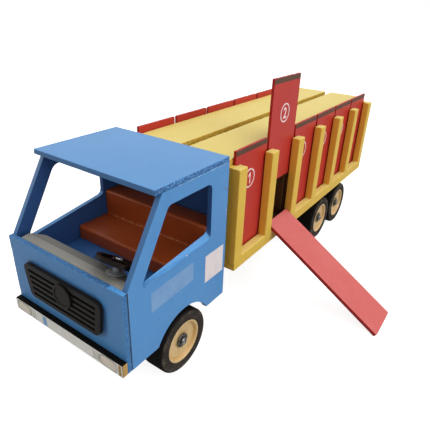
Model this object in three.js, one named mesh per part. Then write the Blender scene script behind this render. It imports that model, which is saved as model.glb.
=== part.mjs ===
// A hand-made wooden toy livestock truck with six sliding gates on each side and a loose ramp.
// Frame: millimetres, +Z up, front towards -Y, the truck's left side towards +X.
// The model is laid out from the floor, midway between the sides, under the face of the front panel, and the
// whole is then moved so that the origin is the bottom centre of the box that holds the truck and its ramp.

import * as THREE from "three";

// ---- driving dimensions ----

const GAP = 0.3; // between a piece that turns or rests loosely and its neighbour

const CAB = {
  halfWidth: 90, board: 6, rearY: 170, bottomZ: 65, sillZ: 163, roofZ: 252, roofFrontY: 47,
  pillarFrontY: 57, floorZ: 121, archRadius: 50, bumperDepth: 7, bumperHeight: 16,
};
const WINDOWS = { // corners in (y, z), each with the reach of its rounding; both were sawn by hand
  left: [
    { a: 22.5, b: 156, reach: 11 },
    { a: 138, b: 167, reach: 8 },
    { a: 138, b: 230, reach: 9 },
    { a: 66, b: 230, reach: 5 },
  ],
  right: [
    { a: 18.5, b: 151.5, reach: 10 },
    { a: 134.5, b: 169, reach: 8 },
    { a: 134.5, b: 230, reach: 7 },
    { a: 66, b: 230, reach: 8 },
  ],
};
const SILL_FALL = { front: 1, rear: 6, belowZ: 180 }; // how far the left window's sill falls outwards
const GRILLE = {
  bottomZ: 98, topZ: 141.5, bottomHalf: 56.5, topHalf: 63, depth: 4.5, topReach: 11, bottomReach: 8,
  slots: 5, slotMiddleZ: 119, slotPitch: 7.3, slotHeight: 3.4, slotReach: 1, border: 7,
};
const BADGE = { radius: 14.2, thickness: 2.5, x: 4, z: 125.5 };
const DASH = { farX: -75, cutX: -62, ridgeY: 16, ridgeZ: 164, rearY: 29, rearZ: 160, bottomZ: 140 };
const COLUMN = { x: 57, y: 22.8, flange: 9.5, flangeEdge: 1, flangeHeight: 2.5, radius: 3.2, height: 7.6 };
const RIM = {
  outer: 22.5, inner: 18, hub: 7, halfSpoke: 2, thickness: 4.6, spokes: 3, lean: 0.286, rise: 9.1,
};
const SEAT = { frontY: 89, topZ: 140, creaseY: 137, backTopZ: 174, frontRadius: 3.5, backRadius: 3 };

const WHEEL = { radius: 41, width: 32, outerX: 91, shoulder: 3 };
const DISC = { radius: 27.7, clearance: 0.2, bore: 3.4, inset: 3, proud: 1, lip: 3, cone: 3, dish: 5 };
const AXLE = { radius: 3, washer: 9, washerThickness: 1.6, head: 5, headHeight: 4 };
const AXLES = [
  { name: "front", y: 90 },
  { name: "middle", y: 501.5 },
  { name: "rear", y: 590.5 },
];
const CHASSIS = { halfWidth: 50, topZ: 91, board: 15, rearInset: 10, blockBottomZ: 27 };
const BLOCKS = [ // which axles each block carries, and how far it reaches past them
  { name: "front_axle_block", first: 0, last: 0, reach: 18 },
  { name: "rear_axle_block", first: 1, last: 2, reach: 20 },
];
const RISER = { halfWidth: 40, frontY: 20 };

const BODY = {
  frontY: 187, pitch: 81, postLength: 18, postDepth: 12, halfWidth: 94.5, bottomZ: 91, baseZ: 99.5,
  sillZ: 107.5, floorZ: 104, postTopZ: 231, roofTopZ: 238.5, roofBoard: 10, roofHalfGap: 6.5,
  roofHalfWidth: 76, tongue: 4, bays: 6,
};
const GATE = { width: 76, thickness: 4, height: 144, outerX: 81, lift: 73, raised: "gate_left_2" };
const RAMP = { width: 60, thickness: 5.5, footX: 265.5, headX: 84, bay: 2 };

const SPLIT = 48; // flats round a wheel
const SMALL_SPLIT = 24; // flats round an axle

const bodyRearY = BODY.frontY + BODY.bays * BODY.pitch + BODY.postLength;
const postInnerX = BODY.halfWidth - BODY.postDepth;
const bayMiddle = (bay) => BODY.frontY + (bay - 0.5) * BODY.pitch + BODY.postLength / 2;
const axleZ = WHEEL.radius;
const SIDES = [
  { side: "left", sign: 1 },
  { side: "right", sign: -1 },
];

// ---- colours ----

const finish = (color, roughness, metalness = 0) =>
  new THREE.MeshStandardMaterial({ color, roughness, metalness });
const BLUE = finish(0x4f86bf, 0.45);
const YELLOW = finish(0xdcbf5f, 0.5);
const RED = finish(0xb83a34, 0.45);
const BROWN = finish(0x5a2413, 0.4);
const BLACK = finish(0x14110f, 0.55);
const GREY = finish(0x77756c, 0.5);
const WOOD = finish(0xd2b070, 0.4);
const RUBBER = finish(0x2a2826, 0.85);
const STEEL = finish(0x8b8b8b, 0.35, 1);

const truck = new THREE.Group();

// ---- helpers ----

function add(name, geometry, material, parent = truck) {
  const mesh = new THREE.Mesh(geometry, material);
  mesh.name = name;
  parent.add(mesh);
  return mesh;
}

// A board given by its lowest and highest corners.
function board(name, low, high, material) {
  const size = high.map((v, i) => v - low[i]);
  const mesh = add(name, new THREE.BoxGeometry(...size), material);
  mesh.position.set(...low.map((v, i) => v + size[i] / 2));
  return mesh;
}

const extruded = (shape, depth) =>
  new THREE.ExtrudeGeometry(shape, { depth, bevelEnabled: false, curveSegments: 16 });

// A flat outline in (y, z) that becomes a plate from x = x0 to x = x1.
function plateAlongX(name, shape, x0, x1, material) {
  const geometry = extruded(shape, x1 - x0);
  geometry.applyMatrix4(new THREE.Matrix4().makeBasis(
    new THREE.Vector3(0, 1, 0), new THREE.Vector3(0, 0, 1), new THREE.Vector3(1, 0, 0)));
  geometry.translate(x0, 0, 0);
  return add(name, geometry, material);
}

// A flat outline in (x, z) that becomes a plate from y = y0 to y = y1.
function plateAlongY(name, shape, y0, y1, material) {
  const geometry = extruded(shape, y1 - y0);
  geometry.rotateX(Math.PI / 2);
  geometry.translate(0, y1, 0);
  return add(name, geometry, material);
}

const lathe = (profile, split) =>
  new THREE.LatheGeometry(profile.map(([r, h]) => new THREE.Vector2(r, h)), split);

// A closed profile of (radius, x) points turned about the X axis through (y, axle height).
function turned(name, profile, y, sign, material) {
  const mesh = add(name, lathe([...profile, profile[0]], SPLIT), material);
  mesh.rotation.z = (-sign * Math.PI) / 2;
  mesh.position.set(0, y, axleZ);
}

const polygon = (points) => new THREE.Shape(points.map(([a, b]) => new THREE.Vector2(a, b)));

// A closed outline through corners, each rounded with a quadratic curve that starts at its reach. The outline
// is a Shape, or a Path for a hole.
function roundedPolygon(Kind, corners) {
  const path = new Kind();
  corners.forEach((c, i) => {
    const before = corners[(i + corners.length - 1) % corners.length];
    const after = corners[(i + 1) % corners.length];
    const towards = (o) => {
      const length = Math.hypot(o.a - c.a, o.b - c.b);
      return [c.a + ((o.a - c.a) * c.reach) / length, c.b + ((o.b - c.b) * c.reach) / length];
    };
    if (i) path.lineTo(...towards(before));
    else path.moveTo(...towards(before));
    path.quadraticCurveTo(c.a, c.b, ...towards(after));
  });
  path.closePath();
  return path;
}

// ---- cab: boards of one thickness, glued edge to face ----

const cabIn = CAB.halfWidth - CAB.board;
const cabRoofUnder = CAB.roofZ - CAB.board;
const cabBackY = CAB.rearY - CAB.board;
const cabFloorUnder = CAB.floorZ - CAB.board;
const frontAxleY = AXLES[0].y;

function sidePanelShape(windowCorners) {
  const halfArch = Math.sqrt(CAB.archRadius ** 2 - (CAB.bottomZ - axleZ) ** 2);
  const archStart = Math.atan2(CAB.bottomZ - axleZ, halfArch);
  const shape = new THREE.Shape();
  shape.moveTo(CAB.board, CAB.bottomZ);
  shape.lineTo(CAB.board, CAB.sillZ);
  shape.lineTo(CAB.pillarFrontY, cabRoofUnder);
  shape.lineTo(CAB.rearY, cabRoofUnder);
  shape.lineTo(CAB.rearY, CAB.bottomZ);
  shape.lineTo(frontAxleY + halfArch, CAB.bottomZ);
  shape.absarc(frontAxleY, axleZ, CAB.archRadius, archStart, Math.PI - archStart);
  shape.closePath();
  shape.holes.push(roundedPolygon(THREE.Path, windowCorners));
  return shape;
}
const sidePanels = {};
for (const { side, sign } of SIDES) {
  const x0 = sign > 0 ? cabIn : -CAB.halfWidth;
  const shape = sidePanelShape(WINDOWS[side]);
  sidePanels[side] = plateAlongX(`cab_side_${side}`, shape, x0, x0 + CAB.board, BLUE);
}

// The left window's sill falls outwards, more at its rear end than at its front end.
const [sillFront, sillRear] = WINDOWS.left;
const sidePoints = sidePanels.left.geometry.attributes.position;
for (let i = 0; i < sidePoints.count; i++) {
  const [x, y, z] = [sidePoints.getX(i), sidePoints.getY(i), sidePoints.getZ(i)];
  const along = (y - sillFront.a) / (sillRear.a - sillFront.a);
  const onSill = x > cabIn && along > 0 && along <= 1 && z > CAB.floorZ && z < SILL_FALL.belowZ;
  if (onSill) sidePoints.setZ(i, z - SILL_FALL.front - (SILL_FALL.rear - SILL_FALL.front) * along);
}

const W = CAB.halfWidth;
board("cab_front", [-W, 0, CAB.bottomZ], [W, CAB.board, CAB.sillZ], BLUE);
board("cab_roof", [-W, CAB.roofFrontY, cabRoofUnder], [W, CAB.rearY, CAB.roofZ], BLUE);
board("cab_back", [-cabIn, cabBackY, CHASSIS.topZ], [cabIn, CAB.rearY, cabRoofUnder], BLUE);
board("cab_floor", [-cabIn, CAB.board, cabFloorUnder], [cabIn, cabBackY, CAB.floorZ], BLUE);
board("bumper", [-W, -CAB.bumperDepth, CAB.bottomZ], [W, 0, CAB.bottomZ + CAB.bumperHeight], BLACK);

// Grille: a plate that narrows downwards, with five slots that narrow with it. Its plain round badge was
// glued on a little off the middle.
const grilleHalf = (z) => GRILLE.bottomHalf
  + ((GRILLE.topHalf - GRILLE.bottomHalf) * (z - GRILLE.bottomZ)) / (GRILLE.topZ - GRILLE.bottomZ);

function taperedBox(Kind, z0, z1, border, bottomReach, topReach) {
  const low = grilleHalf(z0) - border;
  const high = grilleHalf(z1) - border;
  return roundedPolygon(Kind, [
    { a: -low, b: z0, reach: bottomReach },
    { a: low, b: z0, reach: bottomReach },
    { a: high, b: z1, reach: topReach },
    { a: -high, b: z1, reach: topReach },
  ]);
}
const grille = taperedBox(THREE.Shape, GRILLE.bottomZ, GRILLE.topZ, 0, GRILLE.bottomReach, GRILLE.topReach);
for (let i = 0; i < GRILLE.slots; i++) {
  const z = GRILLE.slotMiddleZ + (i - (GRILLE.slots - 1) / 2) * GRILLE.slotPitch;
  const [z0, z1] = [z - GRILLE.slotHeight / 2, z + GRILLE.slotHeight / 2];
  grille.holes.push(taperedBox(THREE.Path, z0, z1, GRILLE.border, GRILLE.slotReach, GRILLE.slotReach));
}
plateAlongY("grille", grille, -GRILLE.depth, 0, BLACK);
add("badge", new THREE.CylinderGeometry(BADGE.radius, BADGE.radius, BADGE.thickness, SPLIT), BLACK)
  .position.set(BADGE.x, -GRILLE.depth - BADGE.thickness / 2, BADGE.z);

// Dashboard: a bar behind the front panel whose top falls away to the rear. It stops short of the cab's right
// side, where its rear corner is sawn off.
const dashboard = plateAlongX("dashboard", polygon([
  [CAB.board, CAB.sillZ], [CAB.board, DASH.bottomZ], [DASH.ridgeY, DASH.bottomZ],
  [DASH.rearY, DASH.bottomZ], [DASH.rearY, DASH.rearZ], [DASH.ridgeY, DASH.ridgeZ],
]), DASH.farX, cabIn, GREY);
const dashPoints = dashboard.geometry.attributes.position;
for (let i = 0; i < dashPoints.count; i++) {
  if (dashPoints.getX(i) < 0 && dashPoints.getY(i) > DASH.ridgeY) dashPoints.setX(i, DASH.cutX);
}

// Steering column, square to the rear slope of the dashboard. The wheel leans further towards the driver.
const steering = new THREE.Group();
const slope = Math.atan2(DASH.ridgeZ - DASH.rearZ, DASH.rearY - DASH.ridgeY);
steering.position.set(COLUMN.x, COLUMN.y, DASH.ridgeZ - (COLUMN.y - DASH.ridgeY) * Math.tan(slope) + GAP);
steering.rotation.x = Math.PI / 2 - slope;
truck.add(steering);
add("steering_column", lathe([
  [0, 0], [COLUMN.flange, 0], [COLUMN.flange, COLUMN.flangeEdge], [COLUMN.radius, COLUMN.flangeHeight],
  [COLUMN.radius, COLUMN.height], [0, COLUMN.height],
], SMALL_SPLIT), STEEL, steering);

// Steering wheel: a flat ring with a hub and three spokes, cut as one outline with three openings.
function steeringShape() {
  const shape = new THREE.Shape();
  shape.absarc(0, 0, RIM.outer, 0, 2 * Math.PI);
  const reach = Math.PI / RIM.spokes;
  const out = reach - Math.asin(RIM.halfSpoke / RIM.inner);
  const inn = reach - Math.asin(RIM.halfSpoke / RIM.hub);
  for (let i = 0; i < RIM.spokes; i++) {
    const middle = 2 * reach * i + Math.PI / 2;
    const hole = new THREE.Path();
    hole.absarc(0, 0, RIM.inner, middle - out, middle + out);
    hole.absarc(0, 0, RIM.hub, middle + inn, middle - inn, true);
    hole.closePath();
    shape.holes.push(hole);
  }
  return shape;
}
const rim = extruded(steeringShape(), RIM.thickness);
rim.rotateX(-Math.PI / 2 - RIM.lean);
add("steering_wheel", rim, BLACK, steering).position.y = RIM.rise;

// Bench seat: one L-shaped block across the cab, with its front and its back's top rounded.
function seatShape() {
  const r = SEAT.frontRadius;
  const R = SEAT.backRadius;
  const shape = new THREE.Shape();
  shape.moveTo(SEAT.frontY, CAB.floorZ);
  shape.lineTo(cabBackY, CAB.floorZ);
  shape.lineTo(cabBackY, SEAT.backTopZ);
  shape.absarc(SEAT.creaseY + R, SEAT.backTopZ - R, R, Math.PI / 2, Math.PI);
  shape.lineTo(SEAT.creaseY, SEAT.topZ);
  shape.absarc(SEAT.frontY + r, SEAT.topZ - r, r, Math.PI / 2, Math.PI);
  shape.closePath();
  return shape;
}
plateAlongX("bench_seat", seatShape(), -cabIn, cabIn, BROWN);

// ---- chassis: one long board on blocks that hold the axles ----

const chassisUnder = CHASSIS.topZ - CHASSIS.board;
board("chassis_board", [-CHASSIS.halfWidth, CAB.board, chassisUnder],
  [CHASSIS.halfWidth, bodyRearY - CHASSIS.rearInset, CHASSIS.topZ], BLACK);
board("cab_riser", [-RISER.halfWidth, RISER.frontY, CHASSIS.topZ],
  [RISER.halfWidth, cabBackY, cabFloorUnder], BLACK);

// An axle block is bored across for each of its axles.
for (const { name, first, last, reach } of BLOCKS) {
  const y0 = AXLES[first].y - reach;
  const y1 = AXLES[last].y + reach;
  const z0 = CHASSIS.blockBottomZ;
  const shape = polygon([[y0, z0], [y1, z0], [y1, chassisUnder], [y0, chassisUnder]]);
  for (const { y } of AXLES.slice(first, last + 1)) {
    const bore = new THREE.Path();
    bore.absarc(y, axleZ, AXLE.radius + GAP, 0, 2 * Math.PI);
    shape.holes.push(bore);
  }
  plateAlongX(name, shape, -CHASSIS.halfWidth, CHASSIS.halfWidth, BLACK);
}

// ---- wheels: turned wooden discs with rubber tyres, on fixed steel axles ----

const innerX = WHEEL.outerX - WHEEL.width;
const tyreBore = DISC.radius + DISC.clearance;
const treadEdge = WHEEL.radius - WHEEL.shoulder;
const tyreProfile = [
  [tyreBore, innerX], [treadEdge, innerX], [WHEEL.radius, innerX + WHEEL.shoulder],
  [WHEEL.radius, WHEEL.outerX - WHEEL.shoulder], [treadEdge, WHEEL.outerX], [tyreBore, WHEEL.outerX],
];
const discX = innerX + DISC.inset;
const lipX = WHEEL.outerX - DISC.proud;
const lipR = DISC.radius - DISC.lip;
const dishX = WHEEL.outerX - DISC.dish;
const discProfile = [
  [DISC.bore, discX], [DISC.radius, discX], [DISC.radius, lipX],
  [lipR, lipX], [lipR - DISC.cone, dishX], [DISC.bore, dishX],
];

// Half of an axle in profile, with its washer and screw head; the other half is its mirror image.
const washerX = dishX + GAP;
const headX = washerX + AXLE.washerThickness;
const halfAxle = [
  [AXLE.radius, washerX], [AXLE.washer, washerX], [AXLE.washer, headX],
  [AXLE.head, headX], [AXLE.head, headX + AXLE.headHeight], [0, headX + AXLE.headHeight],
];
const otherHalfAxle = halfAxle.map(([r, x]) => [r, -x]).reverse();

for (const { name, y } of AXLES) {
  for (const { side, sign } of SIDES) {
    turned(`tyre_${name}_${side}`, tyreProfile, y, sign, RUBBER);
    turned(`wheel_${name}_${side}`, discProfile, y, sign, WOOD);
  }
  const axle = add(`${name}_axle`, lathe([...otherHalfAxle, ...halfAxle], SMALL_SPLIT), STEEL);
  axle.rotation.z = -Math.PI / 2;
  axle.position.set(0, y, axleZ);
}

// ---- load body ----

// The floor board carries the side frames in a rebate along each edge.
const B = BODY.halfWidth;
plateAlongY("cargo_floor", polygon([
  [-B, BODY.bottomZ], [B, BODY.bottomZ], [B, BODY.baseZ], [postInnerX, BODY.baseZ],
  [postInnerX, BODY.floorZ], [-postInnerX, BODY.floorZ], [-postInnerX, BODY.baseZ], [-B, BODY.baseZ],
]), BODY.frontY, bodyRearY, YELLOW);

// A side frame is a comb: seven posts that rise from one sill.
function combShape() {
  const points = [[BODY.frontY, BODY.baseZ], [bodyRearY, BODY.baseZ]];
  for (let i = BODY.bays; i >= 0; i--) {
    const y = BODY.frontY + i * BODY.pitch;
    if (i < BODY.bays) points.push([y + BODY.postLength, BODY.sillZ]);
    points.push([y + BODY.postLength, BODY.postTopZ], [y, BODY.postTopZ]);
    if (i) points.push([y, BODY.sillZ]);
  }
  return polygon(points);
}
for (const { side, sign } of SIDES) {
  const x0 = sign > 0 ? postInnerX : -B;
  plateAlongX(`side_frame_${side}`, combShape(), x0, x0 + BODY.postDepth, YELLOW);
}

// Walls across the body, one at each pair of posts and as thick as they are. A narrow tongue at each end
// passes between two gates to its post, so the gates slide in the corners that are left.
const roofUnder = BODY.roofTopZ - BODY.roofBoard;
const shoulder = (BODY.postLength - BODY.tongue) / 2;
const WALLS = [
  { name: "front_wall", post: 0, front: 0, rear: shoulder },
  { name: "partition_1", post: 1, front: shoulder, rear: shoulder },
  { name: "partition_2", post: 2, front: shoulder, rear: shoulder },
  { name: "partition_3", post: 3, front: shoulder, rear: shoulder },
  { name: "partition_4", post: 4, front: shoulder, rear: shoulder },
  { name: "partition_5", post: 5, front: shoulder, rear: shoulder },
  { name: "rear_wall", post: 6, front: shoulder, rear: 0 },
];
for (const { name, post, front, rear } of WALLS) {
  const y0 = BODY.frontY + post * BODY.pitch;
  const y1 = y0 + BODY.postLength;
  const side = [[postInnerX, y0 + front], [postInnerX, y1 - rear]];
  if (front) side.unshift([BODY.roofHalfWidth, y0], [BODY.roofHalfWidth, y0 + front]);
  if (rear) side.push([BODY.roofHalfWidth, y1 - rear], [BODY.roofHalfWidth, y1]);
  const outline = [...side, ...side.map(([x, y]) => [-x, y]).reverse()];
  const geometry = extruded(polygon(outline), roofUnder - BODY.floorZ);
  geometry.translate(0, 0, BODY.floorZ);
  add(name, geometry, YELLOW);
}

for (const { side, sign } of SIDES) {
  const x0 = sign > 0 ? BODY.roofHalfGap : -BODY.roofHalfWidth;
  const width = BODY.roofHalfWidth - BODY.roofHalfGap;
  board(`roof_board_${side}`, [x0, BODY.frontY, roofUnder], [x0 + width, bodyRearY, BODY.roofTopZ], YELLOW);
}

// Gates: thin boards that slide up behind the posts; one stands raised.
for (const { side, sign } of SIDES) {
  for (let bay = 1; bay <= BODY.bays; bay++) {
    const name = `gate_${side}_${bay}`;
    const x0 = sign > 0 ? GATE.outerX - GATE.thickness : -GATE.outerX;
    const y0 = bayMiddle(bay) - GATE.width / 2;
    const z0 = BODY.floorZ + (name === GATE.raised ? GATE.lift : 0);
    board(name, [x0, y0, z0], [x0 + GATE.thickness, y0 + GATE.width, z0 + GATE.height], RED);
  }
}

// ---- ramp: a loose board that leans on the sill of the open bay, a hair above it, with its foot down ----

const rampAngle = Math.atan2(BODY.sillZ + GAP, RAMP.footX - B);
const rampLength = (RAMP.footX - RAMP.headX) / Math.cos(rampAngle);
const ramp = new THREE.Group();
ramp.position.set(RAMP.footX, bayMiddle(RAMP.bay), 0);
ramp.rotation.y = rampAngle;
truck.add(ramp);
add("ramp", new THREE.BoxGeometry(rampLength, RAMP.width, RAMP.thickness), RED, ramp)
  .position.set(-rampLength / 2, 0, RAMP.thickness / 2);

// ---- move the layout point to the bottom centre of the whole ----

const bounds = new THREE.Box3().setFromObject(truck, true);
const whole = new THREE.Group();
whole.add(truck);
truck.position.set(-(bounds.min.x + bounds.max.x) / 2, -(bounds.min.y + bounds.max.y) / 2, 0);

export default whole;
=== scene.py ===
# %% [markdown]
# # A wooden toy livestock truck
# The toy is built from painted boards: a cab, a load body with six stalls, lift-up gates, a loose ramp and
# turned wheels in rubber tyres. Its solid model is loaded first and never moved. Each piece made below takes
# its place from that model, so the wood, paint, rubber and steel go on a body that already fits together.

# %% Load the solid model
import functools
import math

import bmesh
import bpy
import numpy as np
from mathutils import Matrix, Vector


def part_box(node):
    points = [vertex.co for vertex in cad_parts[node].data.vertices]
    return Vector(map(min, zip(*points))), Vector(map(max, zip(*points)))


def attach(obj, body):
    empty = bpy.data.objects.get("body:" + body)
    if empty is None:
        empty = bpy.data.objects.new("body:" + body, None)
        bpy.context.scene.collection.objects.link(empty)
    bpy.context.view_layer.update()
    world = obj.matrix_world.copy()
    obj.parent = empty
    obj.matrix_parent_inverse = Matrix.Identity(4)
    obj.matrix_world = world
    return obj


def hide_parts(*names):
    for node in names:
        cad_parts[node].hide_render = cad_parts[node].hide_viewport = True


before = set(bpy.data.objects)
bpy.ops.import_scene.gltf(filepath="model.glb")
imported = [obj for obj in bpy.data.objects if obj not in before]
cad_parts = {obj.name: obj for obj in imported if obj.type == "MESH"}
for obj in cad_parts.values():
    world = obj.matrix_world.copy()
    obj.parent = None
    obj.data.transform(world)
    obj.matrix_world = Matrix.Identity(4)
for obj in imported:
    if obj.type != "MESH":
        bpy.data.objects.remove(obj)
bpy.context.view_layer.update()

# %% [markdown]
# ## Millimetres on the truck
# The truck was drawn in millimetres from a point on the floor, midway between its sides and under the face of
# the cab's front panel. One function turns such a point into the frame's metres, and another gives a node's
# box in those millimetres, so every size below can be read with a ruler in hand.

# %% Units
front_low, front_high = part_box("cab_front")
ORIGIN = np.array([(front_low.x + front_high.x) / 2, front_low.y, 0.0])
SIDES = {"left": 1, "right": -1}  # the sign of x on each side


def at(x, y, z):
    """A point in truck millimetres as metres in the frame."""
    return Vector(ORIGIN + np.array([x, y, z]) / 1000)


def span(node_name):
    """A node's lowest and highest corners in truck millimetres."""
    return [(np.array(corner) - ORIGIN) * 1000 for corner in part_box(node_name)]


def srgb(code):
    """A hex colour as linear red, green, blue and an alpha of 1: c / 12.92, or ((c + 0.055) / 1.055) to the power
    2.4."""
    parts = [int(code[i:i + 2], 16) / 255 for i in (1, 3, 5)]
    return tuple(c / 12.92 if c <= 0.04045 else ((c + 0.055) / 1.055) ** 2.4 for c in parts) + (1.0,)


print("truck origin", ORIGIN.round(4), "roof", [c.round(1).tolist() for c in span("cab_roof")])

# %% [markdown]
# ## Camera
# A product shot of a toy like this is taken from a little above, near the front left corner, with a normal
# lens. The camera's turn is built from three plain rotations, so that nothing depends on a target object.

# %% Camera
PLACE, TURN, TILT, ROLL = (329.8, -209.6, 406.8), 0.5946, -0.4713, 0.04  # millimetres and radians
lens = bpy.data.cameras.new("camera")
lens.lens, lens.sensor_width, lens.clip_start = 35.5, 36.0, 0.02
camera = bpy.data.objects.new("camera", lens)
bpy.context.collection.objects.link(camera)
camera.matrix_world = (Matrix.Translation(at(*PLACE)) @ Matrix.Rotation(TURN, 4, "Z")
                       @ Matrix.Rotation(math.pi / 2 + TILT, 4, "X") @ Matrix.Rotation(ROLL, 4, "Z"))
bpy.context.scene.camera = camera
print("camera at", [round(v, 3) for v in camera.location])

# %% [markdown]
# ## Nodes
# A material is a small graph. One function adds a node, sets its properties and fills its inputs, each with a
# value or a link. A second one empties a tree and gives the function that adds nodes to it. Every surface ends
# alike, in a bump, a Principled shader and the output, so a recipe only has to name their inputs.


# %% One function for every node
def node(tree, kind, inputs=(), **settings):
    """A new node. inputs is a dict of sockets by name, or a list for the sockets in use, in their order. A node
    given as an input stands for its first output in use."""
    made = tree.nodes.new("ShaderNode" + kind)
    for key, value in settings.items():
        setattr(made, key, value)
    if not isinstance(inputs, dict):
        inputs = dict(zip([k for k, socket in enumerate(made.inputs) if socket.enabled], inputs))
    for key, value in inputs.items():
        if isinstance(value, bpy.types.Node):
            value = next(socket for socket in value.outputs if socket.enabled)
        if isinstance(value, bpy.types.NodeSocket):
            tree.links.new(value, made.inputs[key])
        else:
            made.inputs[key].default_value = value
    return made


def emptied(owner):
    """Clears the node tree of a material or world, and gives the function that adds a node to it."""
    owner.use_nodes = True
    owner.node_tree.nodes.clear()
    return functools.partial(node, owner.node_tree)


def recipe(layout):
    """Turns a layout into a function of (name, ...) that makes a material. layout(add, place, ...) has the function
    that adds a node and the Object coordinates, and returns the shader's inputs and the bump's height,
    strength and distance."""
    def make(name, *numbers, **settings):
        material = bpy.data.materials.new(name)
        add = emptied(material)
        inputs, (height, strength, distance) = layout(add, add("TexCoord").outputs["Object"], *numbers, **settings)
        bump = add("Bump", {"Strength": strength, "Distance": distance, "Height": height})
        add("OutputMaterial", {"Surface": add("BsdfPrincipled", {**inputs, "Normal": bump})})
        return material
    return make


# %% [markdown]
# ## Light, world and floor
# The toy stands in soft studio light: a large lamp high behind it, a second one at its left, a faint glow near its
# right front corner, and light from all around that is brighter overhead than at the horizon, as under a light
# tent. The camera, mirrors and glass see a white room through Light Path's Is Camera, Is Glossy and Is
# Transmission Ray. The floor is pale and keeps the toy's shadow, and a glow that only the camera sees lifts it
# to white where no shadow falls.

# %% World, lamps and floor
scene = bpy.context.scene
scene.view_settings.view_transform = "Standard"
WHITE = (1, 1, 1, 1)
TENT = {"horizon": 0.30, "overhead": 0.88}
world = bpy.data.worlds.new("studio")
add = emptied(world)
path = add("LightPath")
seen = path.outputs["Is Camera Ray"]
for kind in ("Is Glossy Ray", "Is Transmission Ray"):
    seen = add("Math", [seen, path.outputs[kind]], operation="MAXIMUM")
height = add("SeparateXYZ", [add("TexCoord").outputs["Generated"]]).outputs["Z"]
level = add("MapRange", [height, 0, 1, TENT["horizon"], TENT["overhead"]])
soft = add("Background", {"Color": WHITE, "Strength": level})
white = add("Background", {"Color": WHITE, "Strength": 1.0})
add("OutputWorld", {"Surface": add("MixShader", [seen, soft, white])})
scene.world = world

LAMPS = [  # name, aim in truck millimetres, direction towards the lamp, distance and size in metres, watts, colour
    ("key_above", (0, 300, 120), (0.28, 0.30, 0.91), 6.3, 4.5, 207.0, "#FFFDFA"),
    ("fill_left", (0, 300, 120), (0.95, -0.06, 0.30), 3.4, 2.4, 46.0, "#FFFFFF"),
    ("glow_front_right", (-80, 0, 130), (-0.86, -0.30, 0.42), 0.45, 0.2, 0.16, "#FFF6EC"),
]
for name, aim, towards, away, size, watts, colour in LAMPS:
    light = bpy.data.lights.new(name, "AREA")
    light.energy, light.size, light.color = watts, size, srgb(colour)[:3]
    lamp = bpy.data.objects.new(name, light)
    bpy.context.collection.objects.link(lamp)
    direction = Vector(towards).normalized()
    lamp.location = at(*aim) + direction * away
    lamp.rotation_euler = direction.to_track_quat("Z", "Y").to_euler()

FLOOR = {"reach": 60.0, "grey": 0.46, "lift": 0.86}
floor_mesh = bpy.data.meshes.new("floor")
floor_mesh.from_pydata([(x * FLOOR["reach"], y * FLOOR["reach"], 0) for x, y in ((-1, -1), (1, -1), (1, 1), (-1, 1))],
                       [], [(0, 1, 2, 3)])
floor = bpy.data.objects.new("floor", floor_mesh)
bpy.context.collection.objects.link(floor)
material = bpy.data.materials.new("matt white studio floor")
add = emptied(material)
plain = add("BsdfDiffuse", {"Color": (FLOOR["grey"],) * 3 + (1,)})
lift = add("Math", [add("LightPath").outputs["Is Camera Ray"], FLOOR["lift"]], operation="MULTIPLY")
glow = add("Emission", {"Color": WHITE, "Strength": lift})
add("OutputMaterial", {"Surface": add("AddShader", [plain, glow])})
floor_mesh.materials.append(material)
print("lamps", len(LAMPS), "light tent", TENT)

# %% [markdown]
# ## Irregular numbers
# Hand-made edges are never quite straight. Value noise gives smooth irregular numbers at any point of space:
# each corner of a cubic lattice gets a fixed pseudo-random number, and a point between corners gets a blend.


# %% Value noise on whole arrays
def value_noise(points, scale, seed=0.0):
    """Noise from 0 to 1 at points (n, 3). With q = points / scale, the eight lattice corners round q have numbers
    h = fractional part of sin(corner . (127.1, 311.7, 74.7) + seed) * 43758.5453, and they are blended with
    weights from s(f) = f * f * (3 - 2 f) of the fractional part f."""
    q = np.asarray(points, float) / scale
    low = np.floor(q)
    f = q - low
    f = f * f * (3 - 2 * f)
    total = np.zeros(len(q))
    for corner in np.ndindex(2, 2, 2):
        h = np.modf(np.abs(np.sin((low + corner) @ [127.1, 311.7, 74.7] + seed) * 43758.5453))[0]
        total += h * np.prod(np.where(corner, f, 1 - f), axis=1)
    return total


print("noise at three points", value_noise(np.eye(3) * 2.3, 1.0).round(3))

# %% [markdown]
# ## From arrays to a piece
# Every piece ends the same way: its points go from truck millimetres to the frame's metres, its faces get their
# materials, and it rides on a body. Marks, which are numbers kept on the faces, tell the paint what it covers.
# `edge` marks a board's sawn edges, `sawn` says how roughly one was sawn, `ply` marks a layered end, and
# `arris` marks the rounded strip along a corner, where paint wears. `piece` differs from piece to piece, so
# that two boards of one finish don't share their pattern.


# %% Mesh from arrays
def place_piece(name, mesh, materials, marks, choice, slot, body="truck", stands_for=()):
    """Puts marks and materials on a mesh (choice says which material each face takes) and makes it a piece that
    rides on a body and stands for its nodes. slot is not used."""
    marks = {"piece": np.full(len(mesh.polygons), sum(map(ord, name)) % 97 / 10), **marks}
    for kind, values in marks.items():
        mesh.attributes.new(kind, "FLOAT", "FACE").data.foreach_set("value", np.asarray(values, np.float32))
    if choice is not None:
        mesh.polygons.foreach_set("material_index", np.asarray(choice, np.int32))
    for material in materials:
        mesh.materials.append(material)
    mesh.update()
    piece = bpy.data.objects.new(name, mesh)
    bpy.context.collection.objects.link(piece)
    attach(piece, body)
    if stands_for:
        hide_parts(*stands_for)
    return piece


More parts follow.
